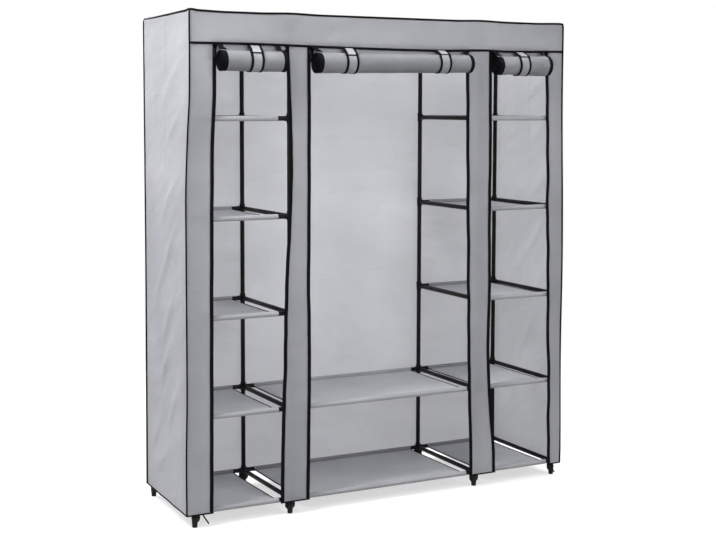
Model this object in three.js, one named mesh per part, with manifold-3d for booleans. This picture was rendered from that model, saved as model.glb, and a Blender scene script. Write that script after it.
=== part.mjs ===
// Portable fabric wardrobe: a plug-together tube frame with cloth shelves, under a
// cloth cover whose three doors are rolled up and strapped below the header band.
// Millimetres, +Z up, +X to the right, the front faces -Y.
// The origin is the bottom centre of the bounding box, on the floor.

import * as THREE from 'three';
import { mergeVertices } from 'three/addons/utils/BufferGeometryUtils.js';
import Module from 'manifold-3d';

const wasm = await Module();
wasm.setup();

// Cover
const coverWidth = 1500;
const coverDepth = 450;
const clothThickness = 0.7;
const hemHeight = 46;
const headerHeight = 108;
const headerSeam = 15;

// Front of the cover from left to right: strip, door, strip, door, strip, door, strip.
// The middle door takes the width that the others leave.
const leftStripWidth = 85;
const leftDoorWidth = 274;
const secondStripWidth = 84;
const thirdStripWidth = 98;
const rightDoorWidth = 254;
const rightStripWidth = 60;

// Frame: places of the post axes and heights of the tube axes
const endPostInset = 20;
const frontPostInset = 18;
const sideBayWidth = 352;
const lowestTubeHeight = 52;
const lowestShelfGap = 318;
const shelfPitch = 333;
const sideShelfCount = 5;
const middleShelfCount = 2;

// Tubes and the plastic connectors that hold them
const tubeDiameter = 16;
const tubeWall = 0.4;
const roundSides = 8;
const hubDiameter = 20;
const hubHeight = 34;
const plugLength = 10;
const fitGap = 0.3;

// Shelves
const shelfEdgeInset = 40;

// Feet
const footDiameter = 18.4;
const footTopDiameter = 21;
const footSides = 8;
const footSpigotLength = 18;
const footWebReach = 20;
const footWebThickness = 4;
const footWebStart = 14;
const footWebSteps = 4;

// Rolled doors
const rollDiameter = 64;
const rollCoreDiameter = 8;
const rollDrop = 24;
const rollEndGap = 12;
const rollSidesPerTurn = 10;

// Straps that hold the rolled doors up
const strapWidth = 38;
const strapThickness = 1;
const strapInset = 134.5;
const strapSteps = 10;

// Zip sliders
const sliderWidth = 9;
const sliderHeight = 15;
const sliderDepth = 6;
const sliderDrop = 14;
const sliderOffset = 2;
const pullWidth = 5;
const pullHeight = 26;
const pullThickness = 1.4;
const pullOverlap = 6;

// Ties at the hem
const tieWidth = 4;
const tieThickness = 1;
const tieLength = 42;
const tieLean = 0.6;
const tieInset = 40;

const tubeRadius = tubeDiameter / 2;
const boreRadius = tubeRadius - tubeWall;
const hubRadius = hubDiameter / 2;
const plugRadius = boreRadius - fitGap;
const rollRadius = rollDiameter / 2;

const endPostX = coverWidth / 2 - endPostInset;
const dividerX = endPostX - sideBayWidth;
const postX = { endLeft: -endPostX, dividerLeft: -dividerX, dividerRight: dividerX, endRight: endPostX };
const frontPostY = -coverDepth / 2 + frontPostInset;
const postRows = { front: frontPostY, back: -frontPostY };

const topLevel = sideShelfCount;
const levelHeight = (level) => {
  const lowestShelf = lowestTubeHeight + lowestShelfGap;
  return level === 0 ? lowestTubeHeight : lowestShelf + (level - 1) * shelfPitch;
};
const postBottom = lowestTubeHeight - hubHeight / 2;
const frameTop = levelHeight(topLevel) + hubHeight / 2;
const coverHeight = frameTop + fitGap + clothThickness;
const headerBottom = coverHeight - headerHeight;
const panelTop = coverHeight - clothThickness - fitGap;
const frontFace = -coverDepth / 2;
const sideBayLevels = Array.from({ length: topLevel + 1 }, (_, level) => level);
const middleBayLevels = [...Array(middleShelfCount).keys(), topLevel];

const rollCentreZ = headerBottom - rollDrop - rollRadius;
const fallFront = frontFace + clothThickness + fitGap;
const rollCentreY = fallFront + clothThickness - rollRadius;

const colours = {
  steel: { color: 0x17181b, roughness: 0.35, metalness: 0.6 },
  plastic: { color: 0x141416, roughness: 0.5, metalness: 0 },
  cloth: { color: 0xb4b6ba, roughness: 0.85, metalness: 0 },
  shelfCloth: { color: 0x9a9ca0, roughness: 0.85, metalness: 0 },
  trim: { color: 0x18191d, roughness: 0.8, metalness: 0 },
};

const wardrobe = new THREE.Group();

function addPiece(name, geometry, colour) {
  const mesh = new THREE.Mesh(geometry, new THREE.MeshStandardMaterial(colours[colour]));
  mesh.name = name;
  wardrobe.add(mesh);
  return mesh;
}

function toSolid(geometry) {
  const bare = geometry.clone();
  bare.deleteAttribute('normal');
  bare.deleteAttribute('uv');
  const merged = mergeVertices(bare);
  const corners = merged.index.array;
  // A lathe has triangles of no area at its poles
  const triangles = [];
  for (let first = 0; first < corners.length; first += 3) {
    const [a, b, c] = corners.slice(first, first + 3);
    if (a !== b && b !== c && c !== a) {
      triangles.push(a, b, c);
    }
  }
  return new wasm.Manifold(new wasm.Mesh({
    numProp: 3,
    vertProperties: new Float32Array(merged.attributes.position.array),
    triVerts: new Uint32Array(triangles),
  }));
}

function toGeometry(solid) {
  const { vertProperties, triVerts } = solid.getMesh();
  const geometry = new THREE.BufferGeometry();
  geometry.setAttribute('position', new THREE.BufferAttribute(vertProperties, 3));
  geometry.setIndex(new THREE.BufferAttribute(triVerts, 1));
  geometry.computeVertexNormals();
  return geometry;
}

function join(geometries) {
  return geometries.map(toSolid).reduce((whole, piece) => whole.add(piece));
}

function cut(solid, geometries) {
  return geometries.map(toSolid).reduce((whole, piece) => whole.subtract(piece), solid);
}

// A box from its lowest corner to its highest corner
function block(low, high) {
  const size = high.map((value, axis) => value - low[axis]);
  const geometry = new THREE.BoxGeometry(...size);
  return geometry.translate(...low.map((value, axis) => value + size[axis] / 2));
}

// A round bar along one axis, whose flats lie at its radius and face the axes
function bar(axis, from, to, place, radius) {
  const corner = radius / Math.cos(Math.PI / roundSides);
  const turn = Math.PI / roundSides;
  const geometry = new THREE.CylinderGeometry(corner, corner, to - from, roundSides, 1, false, turn);
  if (axis === 'x') {
    geometry.rotateZ(Math.PI / 2);
  }
  if (axis === 'z') {
    geometry.rotateX(Math.PI / 2);
  }
  const middle = (from + to) / 2;
  const centre = { x: [middle, ...place], y: [place[0], middle, place[1]], z: [...place, middle] };
  return geometry.translate(...centre[axis]);
}

// A shape drawn in (y, z) and pushed along +X from one place to another
function pushAlongX(points, from, to) {
  const shape = new THREE.Shape(points.map(([y, z]) => new THREE.Vector2(y, z)));
  const geometry = new THREE.ExtrudeGeometry(shape, { depth: to - from, bevelEnabled: false });
  const turn = new THREE.Matrix4().makeBasis(
    new THREE.Vector3(0, 1, 0),
    new THREE.Vector3(0, 0, 1),
    new THREE.Vector3(1, 0, 0),
  );
  return geometry.applyMatrix4(turn).translate(from, 0, 0);
}

// Side frame: two posts and a side tube at each level, with their connectors, and a plug
// for each cross tube. The bores of all its tubes meet, and the posts are open below.
function addSideFrame(name, x, plugs, railSide) {
  const solids = [];
  const bores = [];
  const heights = sideBayLevels.map(levelHeight);
  for (const y of Object.values(postRows)) {
    solids.push(bar('z', postBottom, frameTop, [x, y], tubeRadius));
    bores.push(bar('z', postBottom - plugLength, levelHeight(topLevel) + boreRadius, [x, y], boreRadius));
    for (const z of heights) {
      solids.push(bar('z', z - hubHeight / 2, z + hubHeight / 2, [x, y], hubRadius));
    }
    for (const { side, levels } of plugs) {
      const reach = hubRadius + fitGap + plugLength;
      for (const level of levels) {
        const ends = [x, x + side * reach].sort((a, b) => a - b);
        solids.push(bar('x', ...ends, [y, levelHeight(level)], plugRadius));
      }
    }
  }
  for (const z of heights) {
    solids.push(bar('y', postRows.front, postRows.back, [x, z], tubeRadius));
    bores.push(bar('y', postRows.front, postRows.back, [x, z], boreRadius));
  }
  if (railSide !== 0) {
    const z = levelHeight(topLevel);
    const reach = hubRadius + fitGap + plugLength;
    const ends = [x, x + railSide * reach].sort((a, b) => a - b);
    solids.push(bar('y', -hubHeight / 2, hubHeight / 2, [x, z], hubRadius));
    solids.push(bar('x', ...ends, [0, z], plugRadius));
  }
  addPiece(name, toGeometry(cut(join(solids), bores)), 'steel');
}

// Cross tube between two columns of posts, slid over their plugs
function crossTube(leftX, rightX, y, z) {
  const from = leftX + hubRadius + fitGap;
  const to = rightX - hubRadius - fitGap;
  return {
    outside: bar('x', from, to, [y, z], tubeRadius),
    bore: bar('x', from - plugLength, to + plugLength, [y, z], boreRadius),
  };
}

function addCrossTube(name, leftX, rightX, y, z) {
  const tube = crossTube(leftX, rightX, y, z);
  addPiece(name, toGeometry(cut(toSolid(tube.outside), [tube.bore])), 'steel');
}

// Shelf: a cloth with a sleeve along its front and back edge, each round a cross tube.
// It spans between the undersides of the tubes.
function addShelf(name, leftX, rightX, z) {
  const clothLeft = leftX + shelfEdgeInset;
  const clothRight = rightX - shelfEdgeInset;
  const sleeveRadius = tubeRadius + clothThickness;
  const tubes = Object.values(postRows).map((y) => crossTube(leftX, rightX, y, z));
  const sleeves = Object.values(postRows).map((y) => bar('x', clothLeft, clothRight, [y, z], sleeveRadius));
  const cloth = block(
    [clothLeft, postRows.front, z - sleeveRadius],
    [clothRight, postRows.back, z - tubeRadius],
  );
  const solid = join([...tubes.map((tube) => tube.outside), ...sleeves, cloth]);
  addPiece(name, toGeometry(cut(solid, tubes.map((tube) => tube.bore))), 'shelfCloth');
}

// Foot: a leg with a spigot in the post's bore and webs that spread below the tubes
function addFoot(name, x, y, webSides) {
  const legTop = postBottom - fitGap;
  const spigotRadius = boreRadius - fitGap;
  const profile = [
    [0, 0],
    [footDiameter / 2, 0],
    [footTopDiameter / 2, legTop],
    [spigotRadius, legTop],
    [spigotRadius, legTop + footSpigotLength],
    [0, legTop + footSpigotLength],
  ].map(([radius, height]) => new THREE.Vector2(radius, height));
  const leg = new THREE.LatheGeometry(profile, footSides).rotateX(Math.PI / 2);

  const webTop = lowestTubeHeight - tubeRadius - fitGap;
  const hubClear = hubRadius / Math.cos(Math.PI / roundSides) + fitGap;
  const curve = Array.from({ length: footWebSteps + 1 }, (_, step) => {
    const share = step / footWebSteps;
    const angle = share * Math.PI / 2;
    const radius = spigotRadius + (footWebReach - spigotRadius) * Math.sin(angle);
    return [radius, footWebStart + (webTop - footWebStart) * (1 - Math.cos(angle))];
  });
  const outline = [...curve, [hubClear, webTop], [hubClear, legTop], [spigotRadius, legTop]];
  const webs = webSides.map((turn) => {
    const from = -footWebThickness / 2;
    const web = pushAlongX(outline, from, from + footWebThickness);
    return web.rotateZ(turn);
  });
  const solid = join([leg, ...webs]);
  addPiece(name, toGeometry(solid).translate(x, y, 0), 'plastic');
}

// Cover panels, edge to edge with a fit gap at each seam
function addCover() {
  const halfWidth = coverWidth / 2;
  const backFace = coverDepth / 2;
  const seam = clothThickness + fitGap;
  addPiece('cover_top', block(
    [-halfWidth, frontFace, coverHeight - clothThickness],
    [halfWidth, backFace, coverHeight],
  ), 'cloth');
  addPiece('cover_back', block(
    [-halfWidth, backFace - clothThickness, hemHeight],
    [halfWidth, backFace, panelTop],
  ), 'cloth');
  addPiece('cover_left', block(
    [-halfWidth, frontFace + seam, hemHeight],
    [-halfWidth + clothThickness, backFace - seam, panelTop],
  ), 'cloth');
  addPiece('cover_right', block(
    [halfWidth - clothThickness, frontFace + seam, hemHeight],
    [halfWidth, backFace - seam, panelTop],
  ), 'cloth');
  addPiece('cover_header', block(
    [-halfWidth, frontFace, headerBottom],
    [halfWidth, frontFace + clothThickness, panelTop],
  ), 'cloth');
}

function addStrip(name, leftX, rightX) {
  addPiece(name, block(
    [leftX, frontFace, hemHeight],
    [rightX, frontFace + clothThickness, headerBottom - fitGap],
  ), 'cloth');
}

// Turns of a rolled door: the cloth below the header, wound inwards at a steady pitch
const rolledLength = rollCentreZ - hemHeight;
const meanRadius = rollRadius - clothThickness / 2;
const coreRadius = rollCoreDiameter / 2;
const rollPitch = Math.PI * (meanRadius ** 2 - coreRadius ** 2) / rolledLength;
const rollTurns = (rollRadius - coreRadius) / rollPitch;
const leastRollGap = (rollPitch - clothThickness) * Math.cos(Math.PI / rollSidesPerTurn);
console.log(`Rolled door: ${rollTurns.toFixed(1)} turns, least gap ${leastRollGap.toFixed(2)} mm`);

function addRoll(name, leftX, rightX) {
  const steps = Math.round(rollTurns * rollSidesPerTurn);
  const outside = [];
  const inside = [];
  for (let step = 0; step <= steps; step += 1) {
    const turns = step / rollSidesPerTurn;
    const angle = -turns * 2 * Math.PI;
    const radius = rollRadius - rollPitch * turns;
    const direction = [Math.cos(angle), Math.sin(angle)];
    outside.push(direction.map((value) => value * radius));
    inside.push(direction.map((value) => value * (radius - clothThickness)));
  }
  const outline = [...outside, ...inside.reverse()];
  const placed = outline.map(([y, z]) => [rollCentreY + y, rollCentreZ + z]);
  addPiece(name, pushAlongX(placed, leftX + rollEndGap, rightX - rollEndGap), 'cloth');
}

// Short stretch of a door between its seam behind the header and its roll
function addFall(name, leftX, rightX) {
  addPiece(name, block(
    [leftX + rollEndGap, fallFront, rollCentreZ + fitGap],
    [rightX - rollEndGap, fallFront + clothThickness, headerBottom + headerSeam],
  ), 'cloth');
}

// Strap: from under the header over the front of the roll, round it and up behind it
function addStrap(name, middleX) {
  const halfThickness = strapThickness / 2;
  const startY = frontFace;
  const startZ = headerBottom - fitGap - halfThickness;
  const toStart = new THREE.Vector2(startY - rollCentreY, startZ - rollCentreZ);
  const halfBand = rollRadius + fitGap + halfThickness;
  const firstAngle = toStart.angle() + Math.acos(halfBand / toStart.length());
  const step = (2 * Math.PI - firstAngle) / strapSteps;
  const spread = 1 / Math.cos(step / 2);
  const side = (radius) => Array.from({ length: strapSteps + 1 }, (_, index) => {
    const angle = firstAngle + index * step;
    return [rollCentreY + radius * Math.cos(angle), rollCentreZ + radius * Math.sin(angle)];
  });
  const innerRadius = (rollRadius + fitGap) * spread;
  const outerRadius = innerRadius + strapThickness;
  const away = [Math.cos(firstAngle) * halfThickness, Math.sin(firstAngle) * halfThickness];
  const backTop = headerBottom + headerSeam;
  const outline = [
    [startY + away[0], startZ + away[1]],
    ...side(outerRadius),
    [rollCentreY + outerRadius, backTop],
    [rollCentreY + innerRadius, backTop],
    ...side(innerRadius).reverse(),
    [startY - away[0], startZ - away[1]],
  ];
  addPiece(name, pushAlongX(outline, middleX - strapWidth / 2, middleX + strapWidth / 2), 'cloth');
}

// Zip slider with its pull tab, in front of the zip tape at the edge of a strip
function addSlider(name, edgeX, stripSide) {
  const x = edgeX + stripSide * sliderOffset;
  const back = frontFace - fitGap;
  const top = headerBottom - sliderDrop;
  const bottom = top - sliderHeight;
  const bodyFront = back - sliderDepth;
  const slope = sliderDepth / 2;
  const body = pushAlongX([
    [back, bottom],
    [back, top],
    [bodyFront + slope, top],
    [bodyFront, top - slope],
    [bodyFront, bottom + slope],
    [bodyFront + slope, bottom],
  ], x - sliderWidth / 2, x + sliderWidth / 2);
  const pullTop = bottom + slope + pullOverlap;
  const pull = block(
    [x - pullWidth / 2, bodyFront - pullThickness / 2, pullTop - pullHeight],
    [x + pullWidth / 2, bodyFront + pullThickness / 2, pullTop],
  );
  addPiece(name, toGeometry(join([body, pull])), 'trim');
}

// Tie sewn to the hem of a front corner, hanging aslant beside the foot
function addTie(name, hemX, lean) {
  const tie = block([-tieWidth / 2, -tieThickness / 2, -tieLength], [tieWidth / 2, tieThickness / 2, 0]);
  const drop = Math.sin(Math.abs(lean)) * tieWidth / 2 + fitGap;
  tie.rotateY(-lean).translate(hemX, frontFace + tieThickness / 2, hemHeight - drop);
  addPiece(name, tie, 'trim');
}

const toEast = -Math.PI / 2;
const toWest = Math.PI / 2;
const toNorth = 0;
const toSouth = Math.PI;

const bays = {
  left: { from: postX.endLeft, to: postX.dividerLeft, levels: sideBayLevels },
  middle: { from: postX.dividerLeft, to: postX.dividerRight, levels: middleBayLevels },
  right: { from: postX.dividerRight, to: postX.endRight, levels: sideBayLevels },
};

addSideFrame('end_frame_left', postX.endLeft, [{ side: 1, levels: bays.left.levels }], 0);
addSideFrame('divider_frame_left', postX.dividerLeft, [
  { side: -1, levels: bays.left.levels },
  { side: 1, levels: bays.middle.levels },
], 1);
addSideFrame('divider_frame_right', postX.dividerRight, [
  { side: -1, levels: bays.middle.levels },
  { side: 1, levels: bays.right.levels },
], -1);
addSideFrame('end_frame_right', postX.endRight, [{ side: -1, levels: bays.right.levels }], 0);

const footColumns = {
  left: { x: postX.endLeft, webs: [toEast] },
  divider_left: { x: postX.dividerLeft, webs: [toEast, toWest] },
  divider_right: { x: postX.dividerRight, webs: [toEast, toWest] },
  right: { x: postX.endRight, webs: [toWest] },
};
for (const [column, { x, webs }] of Object.entries(footColumns)) {
  addFoot(`foot_${column}_front`, x, postRows.front, [...webs, toNorth]);
  addFoot(`foot_${column}_back`, x, postRows.back, [...webs, toSouth]);
}

for (const [bay, { from, to, levels }] of Object.entries(bays)) {
  for (const level of levels) {
    if (level === topLevel) {
      addCrossTube(`top_tube_${bay}_front`, from, to, postRows.front, levelHeight(level));
      addCrossTube(`top_tube_${bay}_back`, from, to, postRows.back, levelHeight(level));
    } else {
      addShelf(`shelf_${bay}_${level + 1}`, from, to, levelHeight(level));
    }
  }
}
addCrossTube('hanging_rail', bays.middle.from, bays.middle.to, 0, levelHeight(topLevel));

addCover();
const leftDoorX = -coverWidth / 2 + leftStripWidth;
const secondStripX = leftDoorX + leftDoorWidth;
const middleDoorX = secondStripX + secondStripWidth;
const rightStripX = coverWidth / 2 - rightStripWidth;
const rightDoorX = rightStripX - rightDoorWidth;
const thirdStripX = rightDoorX - thirdStripWidth;
addStrip('strip_left', -coverWidth / 2, leftDoorX);
addStrip('strip_divider_left', secondStripX, middleDoorX);
addStrip('strip_divider_right', thirdStripX, rightDoorX);
addStrip('strip_right', rightStripX, coverWidth / 2);

// A narrow door has one strap at its middle, the wide one has a strap near each end
const doors = {
  left: { from: leftDoorX, to: secondStripX, straps: { strap_left: (leftDoorX + secondStripX) / 2 } },
  middle: {
    from: middleDoorX,
    to: thirdStripX,
    straps: { strap_middle_1: middleDoorX + strapInset, strap_middle_2: thirdStripX - strapInset },
  },
  right: { from: rightDoorX, to: rightStripX, straps: { strap_right: (rightDoorX + rightStripX) / 2 } },
};
for (const [door, { from, to, straps }] of Object.entries(doors)) {
  addRoll(`door_roll_${door}`, from, to);
  addFall(`door_fall_${door}`, from, to);
  for (const [strap, middleX] of Object.entries(straps)) {
    addStrap(strap, middleX);
  }
  addSlider(`zip_slider_${door}_a`, from, -1);
  addSlider(`zip_slider_${door}_b`, to, 1);
}

addTie('hem_tie_left', -coverWidth / 2 + tieInset, tieLean);
addTie('hem_tie_right', coverWidth / 2 - tieInset, tieLean);

// The straps reach further forward than the cover, so its middle lies behind the origin
const box = new THREE.Box3().setFromObject(wardrobe);
wardrobe.position.y = -(box.min.y + box.max.y) / 2;

export default wardrobe;
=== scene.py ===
import math

import bmesh
import bpy
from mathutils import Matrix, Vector, noise


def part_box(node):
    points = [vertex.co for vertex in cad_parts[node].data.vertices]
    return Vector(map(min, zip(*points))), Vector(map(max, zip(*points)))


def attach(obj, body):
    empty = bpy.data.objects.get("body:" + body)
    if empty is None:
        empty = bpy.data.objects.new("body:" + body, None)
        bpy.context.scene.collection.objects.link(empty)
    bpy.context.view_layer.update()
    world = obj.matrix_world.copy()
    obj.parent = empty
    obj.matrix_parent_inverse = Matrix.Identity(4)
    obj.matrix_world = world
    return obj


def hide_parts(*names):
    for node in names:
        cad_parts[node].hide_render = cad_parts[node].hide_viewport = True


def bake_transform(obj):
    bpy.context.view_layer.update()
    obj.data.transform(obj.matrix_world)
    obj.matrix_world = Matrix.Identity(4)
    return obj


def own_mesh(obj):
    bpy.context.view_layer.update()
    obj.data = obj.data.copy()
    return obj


# Portable fabric wardrobe: a black tube frame with cloth shelves, under a grey cloth cover
# whose three doors are rolled up. Metres, front to -Y, left to -X.

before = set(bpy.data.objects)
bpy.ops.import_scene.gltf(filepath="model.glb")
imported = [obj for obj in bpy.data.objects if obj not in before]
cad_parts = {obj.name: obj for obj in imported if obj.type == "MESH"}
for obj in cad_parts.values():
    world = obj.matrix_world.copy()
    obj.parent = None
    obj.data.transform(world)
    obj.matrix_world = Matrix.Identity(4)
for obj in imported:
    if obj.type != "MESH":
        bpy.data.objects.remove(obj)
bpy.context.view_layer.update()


# Picking and shaping

near = 1e-5  # two places nearer than this are one
facing = 0.9  # a face with more of its normal than this along an axis looks that way
# angles up to which two faces are shaded as one curve
smoothAngles = {"metal": 35, "plastic": 40, "cloth": 50, "cord": 60}


def chooseOnly(piece):
    bpy.ops.object.select_all(action="DESELECT")
    piece.select_set(True)
    bpy.context.view_layer.objects.active = piece


def settle(piece):
    # the place, turn and size of the object go into its mesh
    chooseOnly(piece)
    bpy.ops.object.transform_apply(location=True, rotation=True, scale=True)
    return piece


def addBox(size, place):
    bpy.ops.mesh.primitive_cube_add(size=1, location=place)
    bpy.context.object.scale = size
    return settle(bpy.context.object)


def addCylinder(sides, radius, length, place=(0, 0, 0)):
    bpy.ops.mesh.primitive_cylinder_add(vertices=sides, radius=radius, depth=length, location=place)
    return settle(bpy.context.object)


def startEdit(piece, kind):
    chooseOnly(piece)
    bpy.ops.object.mode_set(mode="EDIT")
    bpy.ops.mesh.select_mode(type=kind)


def pick(piece, wanted, kind=None):
    # selects what the test wants, in the kind that is being edited or in another from here on
    if kind:
        bpy.ops.mesh.select_mode(type=kind)
    bpy.ops.mesh.select_all(action="DESELECT")
    shape = bmesh.from_edit_mesh(piece.data)
    byEdge = bpy.context.tool_settings.mesh_select_mode[1]
    for part in shape.edges if byEdge else shape.faces:
        part.select_set(bool(wanted(part)))
    shape.select_flush_mode()
    bmesh.update_edit_mesh(piece.data)


def facesUp(face):
    return face.normal.z > facing


def facesDown(face):
    return face.normal.z < -facing


def manySided(face):
    # the end of a cylinder
    return len(face.verts) > 6


def liesAt(edge, axis, value):
    return all(abs(v.co[axis] - value) < near for v in edge.verts)


def span(edge, axis):
    return abs(edge.verts[0].co[axis] - edge.verts[1].co[axis])


def bevel(width, steps=2):
    bpy.ops.mesh.bevel(offset=width, segments=steps)


def inset(thickness, depth=0.0):
    bpy.ops.mesh.inset(thickness=thickness, depth=depth)


def scaleBy(x, y):
    bpy.ops.transform.resize(value=(x, y, 1))


def endEdit():
    bpy.ops.object.mode_set(mode="OBJECT")


def fixNormals(piece):
    startEdit(piece, "FACE")
    bpy.ops.mesh.select_all(action="SELECT")
    bpy.ops.mesh.remove_doubles(threshold=2 * near)
    bpy.ops.mesh.normals_make_consistent(inside=False)
    endEdit()


def applyModifier(piece, kind, **settings):
    chooseOnly(piece)
    modifier = piece.modifiers.new(kind.lower(), kind)
    for setting, value in settings.items():
        setattr(modifier, setting, value)
    bpy.ops.object.modifier_apply(modifier=modifier.name)


def unite(piece, others):
    # one closed solid from several that overlap
    for other in others:
        applyModifier(piece, "BOOLEAN", operation="UNION", solver="EXACT", object=other)
        bpy.data.objects.remove(other)
    return piece


def smooth(piece, kind="metal"):
    chooseOnly(piece)
    bpy.ops.object.shade_smooth_by_angle(angle=math.radians(smoothAngles[kind]))


def copyPiece(master, name, place, turn=0):
    chooseOnly(master)
    bpy.ops.object.duplicate(linked=False)
    copied = bpy.context.object
    copied.rotation_euler.z = turn
    copied.location = place
    copied.name = name
    return settle(copied)


def dress(piece, name, body, materials, stands=()):
    piece.name = name
    piece.data.name = name
    piece.data.materials.clear()
    for material in materials:
        piece.data.materials.append(material)
    if stands:
        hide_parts(*stands)
    if body:
        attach(piece, body)
    return piece


# Soft lines and noise

def ease(share):
    share = min(max(share, 0), 1)
    return share * share * (3 - 2 * share)


def lineThrough(points, at):
    # a soft line through (place, value) pairs in rising order of place
    if at <= points[0][0]:
        return points[0][1]
    if at >= points[-1][0]:
        return points[-1][1]
    slopes = []
    for index in range(len(points)):
        before = points[max(index - 1, 0)]
        after = points[min(index + 1, len(points) - 1)]
        slopes.append((after[1] - before[1]) / (after[0] - before[0]))
    for index in range(len(points) - 1):
        start, end = points[index], points[index + 1]
        if at <= end[0]:
            length = end[0] - start[0]
            t = (at - start[0]) / length
            value = (2 * t ** 3 - 3 * t ** 2 + 1) * start[1] + (3 * t ** 2 - 2 * t ** 3) * end[1]
            value += (t ** 3 - 2 * t ** 2 + t) * length * slopes[index]
            return value + (t ** 3 - t ** 2) * length * slopes[index + 1]
    return points[-1][1]


def ripple(x, y, z=0.0):
    return noise.noise(Vector((x, y, z)))


# Materials

def newMaterial(name):
    material = bpy.data.materials.new(name)
    material.use_nodes = True
    material.node_tree.nodes.clear()
    return material


def put(material, kind, inputs=None, **settings):
    node = material.node_tree.nodes.new("ShaderNode" + kind)
    for setting, value in settings.items():
        setattr(node, setting, value)
    for socket, value in (inputs or {}).items():
        node.inputs[socket].default_value = value
    return node


def wire(material, source, output, target, socket):
    material.node_tree.links.new(source.outputs[output], target.inputs[socket])


def putTexture(material, kind, place, inputs, **settings):
    texture = put(material, kind, inputs, **settings)
    wire(material, place, "Vector", texture, "Vector")
    return texture


def putRamp(material, pattern, stops):
    ramp = put(material, "ValToRGB")
    for element, (place, colour) in zip(ramp.color_ramp.elements, stops):
        element.position, element.color = place, (*colour, 1)
    wire(material, pattern, "Fac", ramp, "Fac")
    return ramp


def putPlace(material, stretch=(1, 1, 1), turn=(0, 0, 0)):
    # a pattern laid over it is stretched along the turned axes
    coordinate = put(material, "TexCoord")
    mapping = put(material, "Mapping", {"Scale": stretch, "Rotation": turn}, vector_type="TEXTURE")
    wire(material, coordinate, "Object", mapping, "Vector")
    return mapping


def putBump(material, height, output, strength, distance, under=None):
    bump = put(material, "Bump", {"Strength": strength, "Distance": distance})
    wire(material, height, output, bump, "Height")
    if under:
        wire(material, under, "Normal", bump, "Normal")
    return bump


def putRange(material, source, output, lowest, highest, ends=(0.0, 1.0), kind="LINEAR"):
    scaled = put(material, "MapRange", {
        "From Min": ends[0], "From Max": ends[1], "To Min": lowest, "To Max": highest})
    scaled.interpolation_type = kind
    wire(material, source, output, scaled, "Value")
    return scaled


def putSurface(material, inputs, colour, output, bump, shine=None):
    surface = put(material, "BsdfPrincipled", inputs)
    wire(material, colour, output, surface, "Base Color")
    wire(material, bump, "Normal", surface, "Normal")
    if shine:
        wire(material, shine, "Result", surface, "Roughness")
    return surface


def putEither(material, share, output, first, second):
    # the second shader as far as the share goes, and the first for the rest
    either = put(material, "MixShader")
    wire(material, share, output, either, 0)
    wire(material, *first, either, 1)
    wire(material, *second, either, 2)
    return either


def putOutput(material, shader, output, kind="OutputMaterial"):
    wire(material, shader, output, put(material, kind), "Surface")
    return material


white = (1, 1, 1, 1)
clothLooks = {
    "cover": {
        "dark": (0.455, 0.460, 0.488), "light": (0.545, 0.550, 0.578), "patch": 3.2, "roughness": 0.88,
        "through": 0.56, "glow": 0.5, "fold": 8.0, "foldDepth": 0.012, "foldStrength": 0.7, "crease": 0.0006,
    },
    # the door's cloth when it is down, and denser where it is rolled up
    "fall": {
        "dark": (0.400, 0.406, 0.432), "light": (0.490, 0.496, 0.522), "patch": 3.0, "roughness": 0.62,
        "through": 0.45, "glow": 0.4, "fold": 7.0, "foldDepth": 0.012, "foldStrength": 0.5, "crease": 0.0006,
    },
    # painted shade: the rolled door is the cover's cloth, with its colour darkened for the shade on the roll
    "door": {
        "dark": (0.255, 0.260, 0.281), "light": (0.333, 0.338, 0.361), "patch": 7.0, "roughness": 0.50,
        "through": 0.30, "glow": 0.3, "fold": 26.0, "foldDepth": 0.005, "foldStrength": 0.6, "crease": 0.0,
    },
    "shelf": {
        "dark": (0.56, 0.567, 0.596), "light": (0.66, 0.667, 0.696), "patch": 5.0, "roughness": 0.8,
        "through": 0.24, "glow": 0.4, "fold": 6.0, "foldDepth": 0.004, "foldStrength": 0.4, "crease": 0.0,
    },
    # over the black tubes the thin cloth looks darker, and its colour is darkened further as painted shade,
    # so the sleeves' tops lose their highlight
    "sleeve": {
        "dark": (0.34, 0.345, 0.364), "light": (0.42, 0.425, 0.444), "patch": 5.0, "roughness": 0.75,
        "through": 0.06, "glow": 0.0, "fold": 22.0, "foldDepth": 0.003, "foldStrength": 0.4, "crease": 0.0,
    },
    "strap": {
        "dark": (0.27, 0.274, 0.292), "light": (0.36, 0.365, 0.384), "patch": 22.0, "roughness": 0.7,
        "through": 0.10, "glow": 0.0, "fold": 30.0, "foldDepth": 0.002, "foldStrength": 0.4, "crease": 0.0,
    },
    "flap": {
        "dark": (0.32, 0.325, 0.342), "light": (0.42, 0.425, 0.444), "patch": 22.0, "roughness": 0.65,
        "through": 0.10, "glow": 0.0, "fold": 30.0, "foldDepth": 0.002, "foldStrength": 0.4, "crease": 0.0,
    },
}
# gaps between the creases from the pack, and how wide a crease is
packCrease = {"X": 0.29 * 0.93, "Z": 0.29, "width": 0.006}


def putCrease(material, place, axis):
    # thin ridge where the cloth was folded in its pack, every gap along one axis
    parts = put(material, "SeparateXYZ")
    wire(material, place, "Vector", parts, "Vector")
    swing = put(material, "Math", {1: packCrease[axis] / 2}, operation="PINGPONG")
    wire(material, parts, axis, swing, 0)
    return putRange(material, swing, "Value", 1.0, 0.0, (0.0, packCrease["width"]), "SMOOTHSTEP")


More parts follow.
